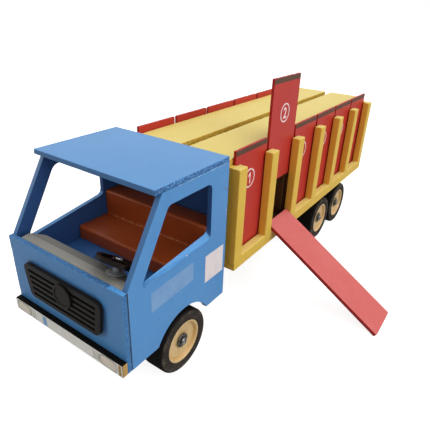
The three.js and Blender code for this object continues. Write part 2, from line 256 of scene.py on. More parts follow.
def finish_piece(name, points, faces, materials, ring=None, smooth=True, marks=None, choice=None, **about):
    """A piece from points in truck millimetres and a list of face arrays. ring is a number for each point, and
    smooth one flag for all the faces or a flag for each."""
    mesh = bpy.data.meshes.new(name)
    mesh.from_pydata(points / 1000 + ORIGIN, [], [row for group in faces for row in group.tolist()])
    if ring is not None:
        mesh.attributes.new("ring", "FLOAT", "POINT").data.foreach_set("value", np.asarray(ring, np.float32))
    mesh.polygons.foreach_set("use_smooth", np.full(len(mesh.polygons), smooth))
    return place_piece(name, mesh, materials, marks or {}, choice, **about)


# %% [markdown]
# ## Boards
# Most pieces are boards. A real one has its sharp corners, its arrises, taken off with a touch of sandpaper, and
# they are what light catches. The surface is a box drawn as six grids, whose points near an edge are pulled
# onto a rounded arris, and where the wood was sawn roughly the arris is chipped.

# %% A box with rounded arrises
WAYS = {"-x": 0, "+x": 1, "-y": 2, "+y": 3, "-z": 4, "+z": 5}


def lines(low, high, radius, step, extra):
    """Grid lines along one side: at 0, 0.3, 0.65 and 1 radius from each end, evenly between, and the extra ones."""
    inner = np.linspace(low + radius, high - radius, max(2, int(round((high - low) / step)) + 1))
    ends = radius * np.array([0, 0.3, 0.65])
    return np.unique(np.concatenate([low + ends, inner, high - ends, extra]).round(4))


def block(low, high, radius, steps, extra):
    """A box from low to high with rounded arrises. Each side is a grid; with c = p clamped to the box shrunk by
    radius, a point p moves to c + radius * (p - c) / |p - c|. Gives points, quads, the side each quad
    belongs to (0 to 5 as in WAYS) and whether it lies on an arris."""
    grid = [lines(low[k], high[k], radius, steps[k], extra[k]) for k in range(3)]
    points, quads, side_of = [], [], []
    count = 0
    for side in WAYS.values():
        axis, top = divmod(side, 2)
        b, c = [k for k in range(3) if k != axis]
        gb, gc = np.meshgrid(grid[b], grid[c], indexing="ij")
        sheet = np.empty(gb.shape + (3,))
        sheet[..., axis], sheet[..., b], sheet[..., c] = (high if top else low)[axis], gb, gc
        index = np.arange(gb.size).reshape(gb.shape) + count
        corners = [index[:-1, :-1], index[1:, :-1], index[1:, 1:], index[:-1, 1:]]
        outward = top != (axis == 1)
        quads.append(np.stack(corners if outward else corners[::-1], -1).reshape(-1, 4))
        side_of.append(np.full(len(quads[-1]), side))
        points.append(sheet.reshape(-1, 3))
        count += gb.size
    # Points that coincide, to a thousandth of a millimetre, become one.
    points = np.concatenate(points)
    _, first, inverse = np.unique(points.round(3), axis=0, return_index=True, return_inverse=True)
    points, quads = points[first], inverse.reshape(-1)[np.concatenate(quads)]
    core = np.clip(points, low + radius, high - radius)
    away = points - core
    points = core + radius * away / np.maximum(np.linalg.norm(away, axis=1, keepdims=True), 1e-9)
    centre = points[quads].mean(axis=1)
    shrunk = np.clip(centre, low + radius, high - radius)
    arris = (np.abs(centre - shrunk) > 0.02 * radius).sum(axis=1) > 1
    return points, quads, np.concatenate(side_of), arris


# %% A painted board
def board(name, place, materials, thin=2, radius=0.6, steps=(20, 20, 20), extra=((), (), ()), chips=0.15, nick=0.15,
          chip_scale=2.2, rough=None, ply=(), coats=None, shape=None, **about):
    """A board with eased arrises, in the place of the node it stands for or between two opposite corners. Where
    value noise at an arris passes 0.55, the point sinks by up to `nick` towards the board's middle, or by
    `chips` next to a side named in rough. rough and ply give marks by side, coats(centres, sides) picks each
    face's material, and shape(points) moves the finished points."""
    if isinstance(place, str):
        about["stands_for"], place = [place], span(place)
    low, high = np.sort(np.array(place, float), axis=0)
    points, quads, side_of, arris = block(low, high, radius, steps, extra)
    sawn = np.array([(rough or {}).get(way, 0.0) for way in WAYS])
    beside = np.stack([points - low, high - points], axis=2) < 1.6 * radius
    ragged = beside.reshape(-1, 6)[:, sawn > 0].any(axis=1)
    depth = np.clip(value_noise(points, chip_scale, len(name)) - 0.55, 0, 1) / 0.45 * np.where(ragged, chips, nick)
    depth = depth * (beside.sum(axis=(1, 2)) > 1)
    points = points + beside @ [1.0, -1.0] * depth[:, None]
    marks = {"edge": side_of // 2 != thin, "arris": arris, "sawn": sawn[side_of],
             "ply": np.isin(side_of, [WAYS[way] for way in ply])}
    choice = coats(points[quads].mean(axis=1), side_of) if coats else None
    points = shape(points) if shape else points
    return finish_piece(name, points, [quads], materials, smooth=arris, marks=marks, choice=choice, **about)


# %% [markdown]
# Boards with windows, combs and other outlines start from their solids. Such a mesh is loose triangles, so a
# copy is merged first and flat neighbours are joined. Its sharp edges are cut into short lengths, bevelled by a
# fraction of a millimetre, and their points then wander as an edge sanded by hand does. The same marks
# are kept.


# %% Eased copies of solids
def column(items, key, width=1, kind=float):
    """One property of every item as an array, with a row for each item if it holds several numbers."""
    values = np.empty(len(items) * width, kind)
    items.foreach_get(key, values)
    return values.reshape(-1, width) if width > 1 else values


def sharp_edges(work):
    """The edges of a bmesh whose two faces are turned by more than 30 degrees."""
    return [edge for edge in work.edges if edge.calc_face_angle(0) > math.radians(30)]


def nowhere(centres, normals):
    """A mark, or a choice of material, that is 0 on every face."""
    return np.zeros(len(centres))


def eased(name, source, materials, slot, width=0.5, segments=2, ragged=0.0, step=4.0, rough=nowhere, cut=nowhere,
          coats=nowhere):
    """A copy of a node as a piece: doubles merged, coplanar faces joined, sharp edges bevelled by `width`
    millimetres. A point on an arris sinks along its normal by ragged * noise. Of (centres, normals), rough and
    cut give the sawn and edge marks and coats the material."""
    work = bmesh.new()
    work.from_mesh(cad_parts[source].data)
    bmesh.ops.remove_doubles(work, verts=work.verts, dist=2e-6)
    bmesh.ops.dissolve_limit(work, angle_limit=math.radians(1), verts=work.verts, edges=work.edges)
    work.normal_update()
    arris_layer = work.faces.layers.float.new("arris")
    for edge in sharp_edges(work) if ragged else ():
        cuts = int(edge.calc_length() * 1000 / step)
        if cuts:
            bmesh.ops.subdivide_edges(work, edges=[edge], cuts=cuts)
    rounded = bmesh.ops.bevel(work, geom=sharp_edges(work), offset=width / 1000, offset_type="OFFSET",
                              segments=segments, profile=0.5, affect="EDGES", clamp_overlap=True)
    for face in rounded["faces"]:
        face[arris_layer] = 1.0
    for face in work.faces:
        face.smooth = True
    bmesh.ops.triangulate(work, faces=[face for face in work.faces if len(face.verts) > 4])
    mesh = bpy.data.meshes.new(name)
    work.to_mesh(mesh)
    work.free()
    centres = (column(mesh.polygons, "center", 3) - ORIGIN) * 1000
    normals = column(mesh.polygons, "normal", 3)
    if ragged:
        points, outward = column(mesh.vertices, "co", 3), column(mesh.vertices, "normal", 3)
        flat = column(mesh.attributes["arris"].data, "value") == 0
        flat = np.repeat(flat, column(mesh.polygons, "loop_total", kind=np.int32))
        on_arris = np.ones(len(points), bool)
        on_arris[column(mesh.loops, "vertex_index", kind=np.int32)[flat]] = False
        depth = value_noise(points * 1000, 3.1, len(name)) * ragged * on_arris / 1000
        mesh.vertices.foreach_set("co", (points - outward * depth[:, None]).ravel())
    marks = {"edge": cut(centres, normals), "sawn": rough(centres, normals)}
    piece = place_piece(name, mesh, materials, marks, coats(centres, normals), slot, stands_for=[source])
    piece.modifiers.new("flat faces stay flat", "WEIGHTED_NORMAL").weight = 100
    return piece


# %% [markdown]
# ## Turned pieces
# Tyres, discs, screw heads and rings are turned: a profile goes once round an axis. Where the profile
# touches the axis, the quads there become triangles, so that the pole is closed.


# %% A surface of revolution
def arc(radius, height, reach, start_angle, end_angle, count=6):
    """Profile points (radius + reach * cos(a), height + reach * sin(a)) for a from start to end, in degrees."""
    a = np.radians(np.linspace(start_angle, end_angle, count))
    return np.stack([radius + reach * np.cos(a), height + reach * np.sin(a)], axis=1)


def strips(index, ahead):
    """Quads between rows of points that go once round. index holds the rows' point numbers, ahead those of the
    row that follows each."""
    return np.stack([index, np.roll(index, -1, 1), np.roll(ahead, -1, 1), ahead], -1).reshape(-1, 4)


def turned(name, profile, centre, axis, materials, segments=72, relief=None, **about):
    """Profile rows (r, h) turned about a unit axis n through centre: point = centre + h n + r (cos t u + sin t v),
    with u and v square to n. A profile either starts and ends on the axis or is a closed loop off it.
    relief(r, h, t) is added to h."""
    profile = np.asarray(profile, float)
    n = np.asarray(axis, float) / np.linalg.norm(axis)
    u = np.cross(n, [0.0, 0.0, 1.0] if abs(n[2]) < 0.9 else [0.0, 1.0, 0.0])
    u /= np.linalg.norm(u)
    v = np.cross(n, u)
    r, t = np.meshgrid(profile[:, 0], np.linspace(0, 2 * np.pi, segments, endpoint=False), indexing="ij")
    h = np.repeat(profile[:, 1:], segments, axis=1)
    h = h + relief(r, h, t) if relief else h
    points = np.asarray(centre) + h[..., None] * n + (r * np.cos(t))[..., None] * u + (r * np.sin(t))[..., None] * v
    index = np.arange(r.size).reshape(r.shape)
    index = np.where(profile[:, :1] < 1e-6, index[:, :1], index)
    loop = profile[0, 0] > 0
    quads = strips(index, np.roll(index, -1, axis=0)) if loop else strips(index[:-1], index[1:])
    first, last = quads[:, 0] == quads[:, 1], quads[:, 2] == quads[:, 3]
    used, inverse = np.unique(quads, return_inverse=True)
    quads = inverse.reshape(-1, 4)
    groups = [quads[~first & ~last], quads[first][:, [0, 2, 3]], quads[last][:, [0, 1, 2]]]
    return finish_piece(name, points.reshape(-1, 3)[used], groups, materials, ring=r.ravel()[used], **about)


print("arc points", arc(10, 0, 2, 0, 90, 3).round(2).tolist())

# %% [markdown]
# ## Painted board
# The truck is hobby board brushed with satin enamel. On the broad faces the paint has levelled out: an even
# colour with slow drifts, faint brush lines, the dimples of a fine roller and a few pale nibs of dust. A board's
# thin edges drink the paint, so they dry darker, and where the saw was rough they're mottled: dark in the torn
# hollows, pale on the high fibres. On the arrises the paint is thin. One recipe makes every colour, and lays
# these tints over the coat one after another.


# %% Satin enamel on board
@recipe
def enamel(add, place, coat, drift, edge, spot, light, worn, roughness=0.42, specular=0.5, brush=(1, 1, 1),
           nib="#E8EEF4", nibs=0.5, drift_size=55.0, wear=0.5, grime_round=None):
    """Satin enamel brushed on board. brush says how much finer the brush lines are along each axis, nib and nibs
    give the colour and strength of the dust, drift_size the size of the drifts in millimetres, wear how bare the
    arrises are, and grime_round names a part of the solid model round whose outline a painted shade darkens the
    paint."""
    marks = {kind: add("Attribute", attribute_name=kind).outputs["Fac"]
             for kind in ("piece", "edge", "sawn", "arris", "ply")}
    # Slow drifts of the colour, where one coat lies thicker than the next.
    drifts = add("TexNoise", {"Vector": place, "W": marks["piece"], "Scale": 1000 / drift_size, "Detail": 3.0},
                 noise_dimensions="4D")
    drifts = add("MapRange", [drifts, 0.35, 0.65])
    colour = add("Mix", [drifts, srgb(coat), srgb(drift)], data_type="RGBA")
    # Brush lines about 4 mm apart: real bristle marks, at a tenth of that, wouldn't show.
    stretched = add("Mapping", {"Vector": place, "Scale": brush})
    streak = add("TexNoise", {"Vector": stretched, "W": marks["piece"], "Scale": 1000 / 4.0, "Detail": 2.0},
                 noise_dimensions="4D")
    tone = add("MapRange", [streak, 0.3, 0.7, 0.95, 1.05])
    colour = add("Mix", [1.0, colour, tone], data_type="RGBA", blend_type="MULTIPLY")
    # Dust nibs: one candidate every 10 mm, of which a third show, 0.5 mm in radius so that they can be seen.
    dust = add("TexVoronoi", {"Vector": place, "Scale": 1000 / 10.0})
    near = add("Math", [dust, 0.5 / 10.0], operation="LESS_THAN")
    chosen = add("SeparateColor", [dust.outputs["Color"]])
    chosen = add("Math", [chosen, 0.66], operation="GREATER_THAN")
    shown = add("Math", [near, chosen], operation="MULTIPLY")
    shown = add("Math", [shown, nibs], operation="MULTIPLY")
    tints = [(shown, nib)]
    if grime_round:
        # Painted shade in the spot colour round that outline. It fades over 6 mm from an outline whose corners are 12
        # mm
        # round: |place - middle| less the box inside those corners, at least 0 along each axis, is as long as the
        # distance from that inner box.
        low, high = (at(*corner) for corner in span(grime_round))
        inner = (high - low) / 2 - Vector((0.012, 0, 0.012))
        away = add("VectorMath", [place, (low + high) / 2], operation="SUBTRACT")
        away = add("VectorMath", [away], operation="ABSOLUTE")
        away = add("VectorMath", [away, (inner.x, 1.0, inner.z)], operation="SUBTRACT")
        away = add("VectorMath", [away, (0, 0, 0)], operation="MAXIMUM")
        away = add("VectorMath", [away], operation="LENGTH")
        grime_and_shade = add("MapRange", [away, 0.012, 0.018, 0.8, 0.0], interpolation_type="SMOOTHSTEP")
        tints.append((grime_and_shade, spot))
    # Torn fibres: the rougher the cut, the more of the noise falls past the thresholds for dark and light.
    torn = add("TexNoise", {"Vector": place, "W": marks["piece"], "Scale": 1000 / 2.4, "Detail": 3.0,
                            "Roughness": 0.6}, noise_dimensions="4D")
    threshold = add("Math", [marks["sawn"], -0.20, 0.74], operation="MULTIPLY_ADD")
    dark = add("Math", [torn, threshold], operation="SUBTRACT")
    dark = add("MapRange", [dark, -0.04, 0.06, 0.0, 0.85])
    under = add("MapRange", [torn, 0.46, 0.36])
    pale = add("Math", [under, marks["sawn"]], operation="MULTIPLY")
    # Layers of a ply end, 1.7 mm each, seen through thin paint.
    wave = add("SeparateXYZ", [place]).outputs["Z"]
    wave = add("Math", [wave, 2 * math.pi / 0.0034], operation="MULTIPLY")
    wave = add("Math", [wave], operation="SINE")
    layer = add("MapRange", [wave, -0.3, 0.3, 0.0, 0.75])
    layer = add("Math", [layer, marks["ply"]], operation="MULTIPLY")
    thin = add("Math", [marks["arris"], under], operation="MULTIPLY")
    thin = add("Math", [thin, wear], operation="MULTIPLY")
    tints += [(marks["edge"], edge), (dark, spot), (pale, light), (layer, spot), (thin, worn)]
    for amount, tint in tints:
        colour = add("Mix", [amount, colour, srgb(tint)], data_type="RGBA")
    gloss = add("MapRange", [streak, 0, 1, roughness - 0.05, roughness + 0.05])
    gloss = add("Math", [marks["sawn"], 0.25, gloss], operation="MULTIPLY_ADD")
    # Roller dimples 1.1 mm apart on the faces, torn fibres on the rough edges.
    dimple = add("TexNoise", {"Vector": place, "Scale": 1000 / 1.1, "Detail": 1.0})
    level = add("Math", [streak, dimple], operation="ADD")
    height = add("Mix", [marks["sawn"], level, torn])
    depth = add("MapRange", [marks["sawn"], 0, 1, 0.10, 0.5])
    inputs = {"Base Color": colour, "Roughness": gloss, "IOR": 1.5, "Specular IOR Level": specular}
    return inputs, (height, depth, 0.0004)


# %% [markdown]
# The colours of the toy: mid blue on the cab, straw yellow on the load body, signal red on the gates and the
# ramp, red-brown on the seat, warm grey on the dashboard, black underneath, and a dark brown band along each
# gate's top. Blue and pale yellow were put on over rough cuts, so their spots are far from their coats.

# %% The truck's enamels: coat, drift, edge, spot, light, worn, roughness
BLUE_COAT = ("#4684BD", "#4A88C1", "#356A9E", "#1E4272", "#5A9AD8", "#5F9EDC", 0.40)
BLUE = enamel("satin blue enamel on board", *BLUE_COAT)
# This copy of the blue darkens towards the grille's outline: a painted shade.
PANEL_BLUE = enamel("satin blue enamel, grimy round the grille", *BLUE_COAT, grime_round="grille")
# Dark blue inside the cab; on the rear reveal of each window it is painted shade.
INNER_AND_SHADED_BLUE = enamel("thin dark blue enamel inside the cab", "#28497A", "#2B4E82", "#2B5084", "#1A3058", "#3A669E",
                    "#3A669E", 0.5, specular=0.25, nibs=0.15)
FLOOR_BLUE = enamel("scuffed blue enamel on the cab floor", "#3565A0", "#3869A6", "#2F5C94", "#1A3058", "#4A7AB4",
                    "#4A7AB4", 0.5, specular=0.3, nibs=0.2)
# The soaked-in blue of sawn ends, also laid on the front panel's top as the roof's painted shadow.
SAWN_AND_SHADED_BLUE = enamel("blue enamel soaked into a sawn end", "#2E6699", "#326CA0", "#2E6699", "#173A62", "#4C8CC4",
                   "#5FA2E0")
# A brighter blue as painted light, for the up-facing sills and the lit left end of the front panel's top.
LIT_BLUE = enamel("thick bright blue enamel", "#468CC9", "#4A90CD", "#468CC9", "#2A68A8", "#62A4E0", "#62A4E0",
                    0.38)
# Yellow's orange edge colour is partly painted light bounced from the red gates.
YELLOW = enamel("satin straw yellow enamel on strip wood", "#CEAA42", "#D2B049", "#E0A63C", "#8E6420", "#E2CB7C",
                "#E0C674", 0.5, specular=0.25, brush=(3, 3, 0.5), nib="#F2E7C0", nibs=0.25)
# A paler copy of the yellow for faces that look up, the roof boards and the tops of posts and sills: painted light.
TOP_LIT_YELLOW = enamel("satin straw yellow enamel on the roof boards", "#D4BF6A", "#D8C470", "#D4AC3A", "#7C5616",
                     "#DCC470", "#E0CC80", 0.5, specular=0.3, brush=(3, 0.5, 3), nib="#F2E7C0", nibs=0.25)
RED = enamel("satin red enamel on board", "#AD2B23", "#B2312A", "#A81A14", "#840F0A", "#B82A24", "#C4504A", 0.42,
             specular=0.25, nib="#E6B4AE", nibs=0.3)
# A paler red for the ramp, whose top catches light from above: a painted sheen.
RAMP_SHEEN_RED = enamel("satin red enamel, rubbed pale", "#BC5450", "#C05B57", "#A0160F", "#7C0F0A", "#B82A24", "#C86A66",
                  0.45, specular=0.4, nib="#E6B4AE", nibs=0.3)
# Inside the stalls the boards take a dark brown: painted shade of the closed boxes.
STALL_SHADE_BROWN = enamel("thin dark brown stain inside the stalls", "#4A3018", "#52361C", "#3C2612", "#2C1C0E", "#5E4022",
                     "#6A4A28", 0.6, specular=0.2, nibs=0.1)
# The seat's arrises take the worn colour fully: partly rubbed paint, partly a painted highlight along the edges.
BROWN = enamel("satin red-brown enamel on wood", "#A0461A", "#AA4D1E", "#A0461A", "#6E2A10", "#B8602C", "#E0A068",
               0.36, specular=0.3, nib="#C47C4C", nibs=0.4, drift_size=30.0, wear=1.0)
GREY = enamel("satin warm grey enamel on wood", "#85837C", "#8E8B83", "#66645E", "#5E5C54", "#8C8A80", "#96948A", 0.5,
              brush=(0.12, 4, 4), nib="#A8A69C", nibs=0.3)
BLACK = enamel("satin black enamel on wood", "#120F0E", "#151211", "#100E0D", "#0C0A09", "#1A1716", "#2E2924", 0.6,
               specular=0.05, nib="#4A4642", nibs=0.3)
BAND = enamel("satin dark brown enamel band", "#54372A", "#5A3D2F", "#4A3024", "#4A3024", "#5A3C2E", "#6E4E3E", 0.5,
              specular=0.2, nib="#86685A", nibs=0.3)
print("enamel nodes", len(BLUE.node_tree.nodes), "in blue,", len(PANEL_BLUE.node_tree.nodes), "round the grille")

# %% [markdown]
# ## Moulded plastic
# The grille, its badge, the steering wheel and its column are injection moulded. The mould was spark eroded, so
# the surface is finely pebbled and satin: almost no colour variation, a soft highlight on every rounded corner,
# and a little grey dust in the pebbles. The grain is drawn at 0.7 mm, twice its real size, so that it shows.


# %% Satin moulded plastic
@recipe
def moulded(add, place, colour, dusty, roughness, specular):
    grain = add("TexNoise", {"Vector": place, "Scale": 1000 / 0.7, "Detail": 2.0})
    dust = add("TexNoise", {"Vector": place, "Scale": 1000 / 16.0, "Detail": 5.0, "Roughness": 0.6})
    amount = add("MapRange", [dust, 0.45, 0.75, 0.0, 0.5])
    tone = add("Mix", [amount, srgb(colour), srgb(dusty)], data_type="RGBA")
    gloss = add("MapRange", [dust, 0, 1, roughness - 0.06, roughness + 0.08])
    return {"Base Color": tone, "Roughness": gloss, "IOR": 1.5, "Specular IOR Level": specular}, (grain, 0.25, 0.0002)


GRILLE_BLACK = moulded("moulded black ABS", "#171512", "#24211D", 0.40, 0.15)
BADGE_BROWN = moulded("moulded brown-black ABS", "#241E1A", "#302923", 0.5, 0.15)
WHEEL_BLACK = moulded("moulded black steering wheel ABS", "#100B09", "#1E1714", 0.38, 0.12)
SLOT_BLACK = moulded("unlit black ABS behind the slots", "#070605", "#0B0908", 0.8, 0.05)
SILVER = moulded("silver-grey ABS", "#8E9092", "#9C9E9F", 0.34, 0.50)

# %% [markdown]
# ## Tyre rubber
# The tyres are solid rings of moulded rubber. Rubber is matt and nearly black, and its outer face carries fine
# rings from the turned mould. Floor dust has been rubbed into it near the shoulder, where the toy is
# pushed along walls. The rings follow `ring`, a number on the points that holds the distance from the axle.


# %% Matt moulded rubber
@recipe
def rubber(add, place, flank, tread, dust):
    ring = add("Attribute", attribute_name="ring").outputs["Fac"]
    grit = add("TexNoise", {"Vector": place, "Scale": 1000 / 1.6, "Detail": 3.0, "Roughness": 0.7})
    cloud = add("TexNoise", {"Vector": place, "Scale": 1000 / 13.0, "Detail": 4.0, "Roughness": 0.6})
    outside = add("MapRange", [ring, 38.4, 40.2])
    # Rubbed-in dust: thickest on the shoulder, none on the tread, and broken up by clouds and grit.
    shoulder = add("MapRange", [ring, 33.0, 38.5, 0.25, 1.0])
    side = add("Math", [1.0, outside], operation="SUBTRACT")
    clouds = add("MapRange", [cloud, 0.42, 0.68])
    specks = add("MapRange", [grit, 0.42, 0.58])
    rubbed = shoulder
    for limit in (side, clouds, specks):
        rubbed = add("Math", [rubbed, limit], operation="MULTIPLY")
    colour = add("Mix", [outside, srgb(flank), srgb(tread)], data_type="RGBA")
    colour = add("Mix", [rubbed, colour, srgb(dust)], data_type="RGBA")
    # Rings 1.2 mm apart, a quarter as deep as the grit.
    rings = add("Math", [ring, 2 * math.pi / 1.2], operation="MULTIPLY")
    rings = add("Math", [rings], operation="SINE")
    rings = add("Math", [rings, 0.25, grit], operation="MULTIPLY_ADD")
    return {"Base Color": colour, "Roughness": 0.78, "IOR": 1.5, "Specular IOR Level": 0.12}, (rings, 0.35, 0.0004)


RUBBER = rubber("matt moulded tyre rubber", "#2C2723", "#100D0C", "#736A5D")

# %% [markdown]
# ## Varnished beech
# The discs were turned from a pale beech board and varnished. On the flat middle the grain runs straight, with
# the short dark flecks of beech rays, and the tool left faint rings. The cone below the lip is tinted a darker
# honey colour all round: a painted shade of that hollow. The bumper's sawn ends are the same kind of wood left
# raw: darker and matt.


# %% Beech, varnished and raw
@recipe
def beech(add, place, pale, dark, fleck, honey, roughness, coat):
    ring = add("Attribute", attribute_name="ring").outputs["Fac"]
    piece = add("Attribute", attribute_name="piece").outputs["Fac"]
    along = {"Vector": place, "Rotation": (0.5, 0, 0)}
    grain = add("TexNoise", {"Vector": add("Mapping", {**along, "Scale": (1, 1, 0.08)}), "W": piece,
                             "Scale": 1000 / 2.4, "Detail": 4.0, "Roughness": 0.6}, noise_dimensions="4D")
    # Ray flecks: beech shows short dark dashes, here 0.9 mm wide and 6 mm long so that they show.
    rays = add("TexNoise", {"Vector": add("Mapping", {**along, "Scale": (1, 1, 0.15)}), "Scale": 1000 / 0.9,
                            "Detail": 1.0})
    # The cone below the lip lies between 22 and 24.5 mm from the axle; the darker tint there is painted shade.
    inside = add("MapRange", [ring, 21.4, 22.2])
    outside = add("MapRange", [ring, 24.9, 24.4])
    cone = add("Math", [inside, outside], operation="MULTIPLY")
    tints = [(add("MapRange", [grain, 0.35, 0.68]), dark),
             (add("MapRange", [rays, 0.62, 0.74, 0.0, 0.5]), fleck),
             (add("Math", [cone, 0.7], operation="MULTIPLY"), honey)]
    wood = srgb(pale)
    for amount, tint in tints:
        wood = add("Mix", [amount, wood, srgb(tint)], data_type="RGBA")
    turning = add("Math", [ring, 2 * math.pi / 1.5], operation="MULTIPLY")
    turning = add("Math", [turning], operation="SINE")
    turning = add("Math", [turning, 0.15, grain], operation="MULTIPLY_ADD")
    inputs = {"Base Color": wood, "Roughness": roughness, "IOR": 1.5, "Coat Weight": coat, "Coat Roughness": 0.2}
    return inputs, (turning, 0.2, 0.0003)


BEECH = beech("turned and varnished beech", "#D0B27C", "#C19E64", "#A68048", "#B98B44", 0.42, 0.5)
RAW_WOOD = beech("raw sawn beech", "#B28F52", "#A07C42", "#86642F", "#B28F52", 0.7, 0.0)

# %% [markdown]
# ## Steel
# The axles, washers and screws are plain zinc-plated steel: metallic, a little brushed, and dull where grime has
# settled. Their colour is a grey that darkens in patches of 3 mm.


# %% Zinc-plated steel
@recipe
def steel(add, place, bright, dull, roughness):
    patches = add("TexNoise", {"Vector": place, "Scale": 1000 / 3.0, "Detail": 4.0})
    grime_and_shade = add("MapRange", [patches, 0.38, 0.62])
    tone = add("Mix", [grime_and_shade, srgb(bright), srgb(dull)], data_type="RGBA")
    gloss = add("MapRange", [patches, 0, 1, roughness - 0.08, roughness + 0.12])
    return {"Base Color": tone, "Metallic": 1.0, "Roughness": gloss}, (patches, 0.2, 0.0002)


ZINC = steel("dull zinc-plated steel", "#7C7A75", "#43413E", 0.38)
SCREW = steel("zinc-plated screw head, rubbed bright", "#A8A8A6", "#4A4A4A", 0.26)
BRIGHT = steel("bright plated steel", "#D8D8DA", "#A8A8AA", 0.16)

# %% [markdown]
# ## Labels and markings
# Blank labels are stuck on: white paper, a milky film through which the blue shows, and the printed strip on the
# bumper. Paper is matt with fibres that barely show, film is smoother. The gate numbers are thick white paint,
# pinkish where the red shows through. Thin dabs, such as a bead of glue, are made in the same way.


# %% Paper, film and dabs of paint
@recipe
def sheet_stock(add, place, colour, shade, roughness, size, bumpy):
    """Thin stock whose tone drifts between two colours over patches of the given size in millimetres."""
    patches = add("TexNoise", {"Vector": place, "Scale": 1000 / size, "Detail": 5.0})
    amount = add("MapRange", [patches, 0.4, 0.65])
    tone = add("Mix", [amount, srgb(colour), srgb(shade)], data_type="RGBA")
    return {"Base Color": tone, "Roughness": roughness, "IOR": 1.5}, (patches, bumpy, 0.0002)


PAPER = sheet_stock("matt white label paper", "#D8CFD0", "#D2C8C9", 0.6, 9.0, 0.15)
FILM = sheet_stock("milky blue label film", "#7199C4", "#6992C0", 0.35, 14.0, 0.05)
STRIP = sheet_stock("satin grey-white printed strip", "#EDEBE2", "#E6E3D9", 0.4, 20.0, 0.05)
LAMP_PRINT = sheet_stock("warm grey lamp print", "#E9DFCE", "#DFD4C1", 0.4, 12.0, 0.05)
LINE_PRINT = sheet_stock("dark grey printed line", "#6E675D", "#625B52", 0.4, 6.0, 0.05)
BLUE_PRINT = sheet_stock("blue printed strip", "#7FAEDD", "#76A5D6", 0.4, 8.0, 0.05)
MARKING = sheet_stock("white marking paint", "#EAD2D0", "#DFC0BE", 0.5, 2.5, 0.3)
CREASE_HIGHLIGHT = sheet_stock("bare wood rubbed through the brown", "#D0A070", "#A0602E", 0.5, 2.0, 0.2)
WHITE_BEAD = sheet_stock("pale bead of glue", "#A8C8E6", "#5E92C8", 0.4, 5.0, 0.2)
SEAM = sheet_stock("dusty glue line", "#1A2438", "#232F46", 0.8, 3.0, 0.3)

# %% [markdown]
# ## Cab
# The cab is six boards, glued and nailed. The front panel closes the ends of the side panels, so its own ends
# show at the sides, and a painted shade darkens it round the grille. The roof overhangs as a flat board. Its left
# end was sawn and left rough: there the arris is chipped deeper and the paint is mottled. The side panels keep
# their outline with window and wheel arch.


# %% Cab boards
def front_coats(centres, sides):
    """The coats of the front panel: 2, soaked in, on its sawn sides, where on the top it is also the roof's painted
    shadow, but 1, painted light, on the top's left end.
    """
    left_end = (sides == WAYS["+z"]) & (centres[:, 0] + 14 * value_noise(centres, 5.0) > 76)
    return np.select([left_end, sides != WAYS["-y"]], [1, 2])


board("front_panel", "cab_front", [PANEL_BLUE, LIT_BLUE, SAWN_AND_SHADED_BLUE], thin=1, radius=0.7, steps=(4, 3, 5),
      chips=0.5, rough={"+z": 0.8, "+x": 0.5, "-x": 0.5}, coats=front_coats, slot="blue_paint")
roof_end = span("cab_roof")[1][0]
board("cab_roof_board", "cab_roof", [BLUE], radius=0.7, steps=(12, 1.0, 2), chips=0.8, chip_scale=2.6,
      extra=((roof_end - 2.2, roof_end - 1.4), (), ()), rough={"+x": 1.0}, slot="blue_paint")


def panel_coats(centres, normals):
    """The coats of a side panel: 1, the inner one, on its inner face, and as painted shade on the rear reveal of the
    window, which lies behind y = 120, and 2, painted light, on the window's up-facing sill, between y = 50 and 150
    and below z = 200."""
    y, z = centres[:, 1], centres[:, 2]
    inner = (normals[:, 0] * np.sign(centres[:, 0]) < -0.9) | (normals[:, 1] < -0.5) & (y > 120)
    return np.where((normals[:, 2] > 0.5) & (y > 50) & (y < 150) & (z < 200), 2, inner)


# Edges that face up take only a fifth of the darker edge colour, so they read lighter: painted light.
for side in SIDES:
    eased(f"side_panel_{side}", f"cab_side_{side}", [BLUE, INNER_AND_SHADED_BLUE, LIT_BLUE], width=0.8, ragged=0.6,
          cut=lambda centres, normals: (np.abs(normals[:, 0]) < 0.7) * np.where(normals[:, 2] > 0.55, 0.2, 1.0),
          coats=panel_coats, slot="blue_paint")
board("back_panel", "cab_back", [INNER_AND_SHADED_BLUE], thin=1, steps=(30, 3, 30), slot="blue_paint")
board("floor_board", "cab_floor", [FLOOR_BLUE], steps=(30, 30, 3), slot="blue_paint")
print("cab from", span("cab_front")[0].round(1), "to", span("cab_roof")[1].round(1))

# %% [markdown]
# Small marks of handwork sit on the left side: a glue line in the joint behind the front panel, a bead of glue
# under the roof, painted pale as its highlight, a set nail near it, and flecks of stray pale paint.

# %% Glue line, bead, flecks and nail
FACE_X = span("cab_side_left")[1][0]
board("glue_line_left", ((FACE_X - 1.2, 5.2, 66), (FACE_X + 0.02, 6.8, 162.6)), [SEAM], thin=0, radius=0.1,
      steps=(2, 2, 4), nick=0, slot="black_paint")
